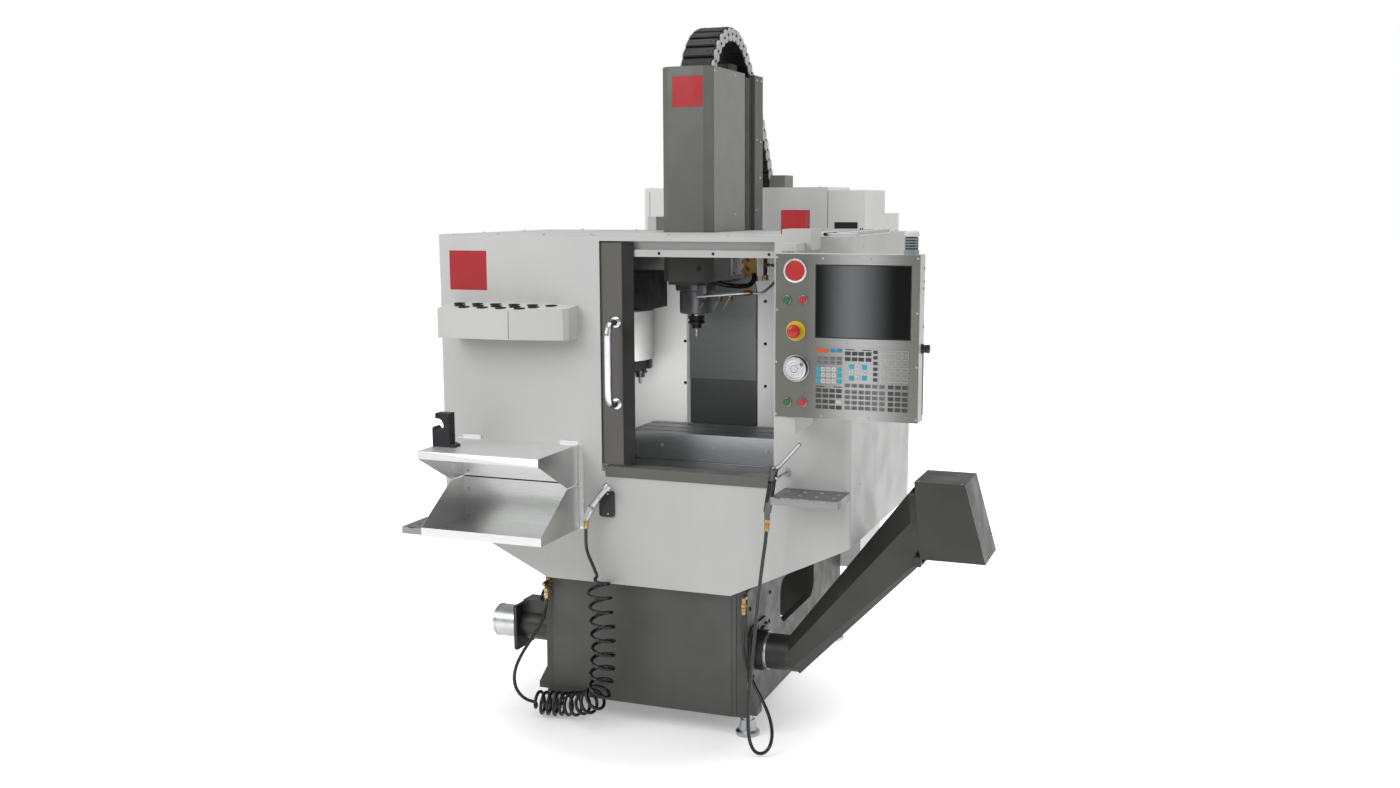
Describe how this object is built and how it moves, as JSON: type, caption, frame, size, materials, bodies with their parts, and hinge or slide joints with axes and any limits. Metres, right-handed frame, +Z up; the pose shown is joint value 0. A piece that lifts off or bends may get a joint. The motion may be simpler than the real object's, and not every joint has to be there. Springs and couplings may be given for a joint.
{
  "type": "cnc machining center",
  "caption": "Small vertical machining centre with a sliding door, tool carousel, swivelling control pendant, chip auger, shelves and wash hoses.",
  "frame": {"origin": "on the floor at the middle of the machine's footprint, hoses left out", "axes": "+X to the operator's right, +Y to the back, +Z up"},
  "size_m": [1.944, 2.058, 2.4905],
  "materials": {
    "light_panels": "satin powder coat",
    "grey_panels": "satin powder coat",
    "dark_castings": "painted casting",
    "dark_paint": "satin",
    "stainless": "brushed",
    "ground_steel": "ground",
    "chromed": "polished",
    "aluminium_parts": "satin",
    "brass_parts": "plain",
    "white_plastic": "semi-gloss",
    "black_plastic": "matt",
    "clear_plastic": "clear",
    "screen_glass": "glossy",
    "green_cap": "glossy",
    "red_cap": "glossy",
    "hose_rubber": "matt",
    "clear_hose": "translucent"
  },
  "bodies": {
    "machine": {"front_panel": "light_panels", "body_panels": "light_panels", "roof_panels": "light_panels", "chip_pan": "light_panels", "door_sill": "dark_paint", "door_track": "light_panels", "tool_tray": "white_plastic", "shelf_unit": "stainless", "tool_fixture": "dark_paint", "side_racks": "stainless", "base_casting": "dark_castings", "base_front_plate": "light_panels", "leveling_feet": "ground_steel", "auger_drive": "dark_paint", "auger_tube": "dark_paint", "chip_chute": "grey_panels", "discharge_hood": "grey_panels", "axis_drives": "ground_steel", "fixed_way_covers": "stainless", "column": "dark_castings", "cable_carrier": "black_plastic", "control_cabinet": "light_panels", "changer_housing": "dark_paint", "pendant_arms": "light_panels", "hose_fittings": "brass_parts", "wash_gun": "chromed", "air_gun": "black_plastic", "wash_hose": "hose_rubber", "air_hose": "hose_rubber"},
    "door": {"door_frame": "grey_panels", "door_window": "clear_plastic", "door_handle": "chromed"},
    "auger": {"auger_screw": "ground_steel"},
    "saddle": {"saddle": "dark_castings"},
    "front_cover": {"front_cover_middle": "stainless"},
    "table": {"table": "ground_steel", "table_drive": "ground_steel"},
    "head": {"head_casting": "dark_castings", "head_cover": "grey_panels", "coolant_manifold": "aluminium_parts", "way_cover_upper": "stainless"},
    "way_cover": {"way_cover_middle": "stainless"},
    "spindle": {"spindle_shaft": "ground_steel"},
    "shuttle": {"changer_carriage": "aluminium_parts"},
    "carousel": {"carousel_drum": "white_plastic", "carousel_disc": "dark_paint"},
    "pendant": {"pendant_case": "grey_panels", "pendant_face": "grey_panels", "screen": "screen_glass", "beacon": "clear_plastic"},
    "power_on": {"power_on_button": "green_cap"},
    "power_off": {"power_off_button": "red_cap"},
    "cycle_start": {"cycle_start_button": "green_cap"},
    "feed_hold": {"feed_hold_button": "red_cap"},
    "stop_head": {"emergency_stop": "red_cap"},
    "wheel": {"jog_wheel": "black_plastic"},
    "wash_lever": {"wash_gun_lever": "chromed"},
    "air_trigger": {"air_gun_trigger": "black_plastic"},
    "valve_handle": {"valve_lever": "black_plastic"}
  },
  "joints": [
    {"name": "door_slide", "type": "slide", "parent": "machine", "child": "door", "axis": [1, 0, 0], "range_m": [0, 0.512]},
    {"name": "y_axis", "type": "slide", "parent": "machine", "child": "saddle", "axis": [0, 1, 0], "range_m": [0, 0.305]},
    {"name": "front_cover_slide", "type": "slide", "parent": "machine", "child": "front_cover", "axis": [0, 1, 0], "range_m": [0, 0.1525]},
    {"name": "x_axis", "type": "slide", "parent": "saddle", "child": "table", "axis": [1, 0, 0], "range_m": [-0.406, 0]},
    {"name": "z_axis", "type": "slide", "parent": "machine", "child": "head", "axis": [0, 0, 1], "range_m": [-0.254, 0]},
    {"name": "way_cover_slide", "type": "slide", "parent": "machine", "child": "way_cover", "axis": [0, 0, 1], "range_m": [-0.127, 0]},
    {"name": "spindle_spin", "type": "hinge", "parent": "head", "child": "spindle", "pos_m": [-0.215, -0.101, 1.412], "axis": [0, 0, 1], "continuous": true},
    {"name": "auger_spin", "type": "hinge", "parent": "machine", "child": "auger", "pos_m": [-0.215, -0.521, 0.281], "axis": [1, 0, 0], "continuous": true},
    {"name": "changer_shuttle", "type": "slide", "parent": "machine", "child": "shuttle", "axis": [1, 0, 0], "range_m": [0, 0.09]},
    {"name": "carousel_spin", "type": "hinge", "parent": "shuttle", "child": "carousel", "pos_m": [-0.646, -0.091, 1.3], "axis": [0, 0, 1], "continuous": true},
    {"name": "pendant_swivel", "type": "hinge", "parent": "machine", "child": "pendant", "pos_m": [0.382, -0.861, 1.426], "axis": [0, 0, 1], "range_deg": [-60, 20]},
    {"name": "power_on_press", "type": "slide", "parent": "pendant", "child": "power_on", "axis": [0, 1, 0], "range_m": [0, 0.003], "stiffness_N_per_m": 800},
    {"name": "power_off_press", "type": "slide", "parent": "pendant", "child": "power_off", "axis": [0, 1, 0], "range_m": [0, 0.003], "stiffness_N_per_m": 800},
    {"name": "cycle_start_press", "type": "slide", "parent": "pendant", "child": "cycle_start", "axis": [0, 1, 0], "range_m": [0, 0.003], "stiffness_N_per_m": 800},
    {"name": "feed_hold_press", "type": "slide", "parent": "pendant", "child": "feed_hold", "axis": [0, 1, 0], "range_m": [0, 0.003], "stiffness_N_per_m": 800},
    {"name": "stop_press", "type": "slide", "parent": "pendant", "child": "stop_head", "axis": [0, 1, 0], "range_m": [0, 0.005]},
    {"name": "jog_wheel_spin", "type": "hinge", "parent": "pendant", "child": "wheel", "pos_m": [0.448, -0.991, 1.337], "axis": [0, 1, 0], "continuous": true},
    {"name": "wash_lever_squeeze", "type": "hinge", "parent": "machine", "child": "wash_lever", "pos_m": [-0.352, -0.77, 0.798], "axis": [0.8998, 0, -0.4363], "range_deg": [0, 6], "stiffness_Nm_per_rad": 0.6},
    {"name": "air_trigger_squeeze", "type": "hinge", "parent": "machine", "child": "air_trigger", "pos_m": [0.306, -0.801, 0.935], "axis": [0.9868, 0, -0.1621], "range_deg": [0, 6], "stiffness_Nm_per_rad": 0.6},
    {"name": "valve_turn", "type": "hinge", "parent": "machine", "child": "valve_handle", "pos_m": [-0.585, -0.666, 0.481], "axis": [0, 1, 0], "range_deg": [0, 90]}
  ],
  "couplings": [
    {"joint": "front_cover_slide", "follows": "y_axis", "ratio": 0.5},
    {"joint": "way_cover_slide", "follows": "z_axis", "ratio": 0.5}
  ]
}
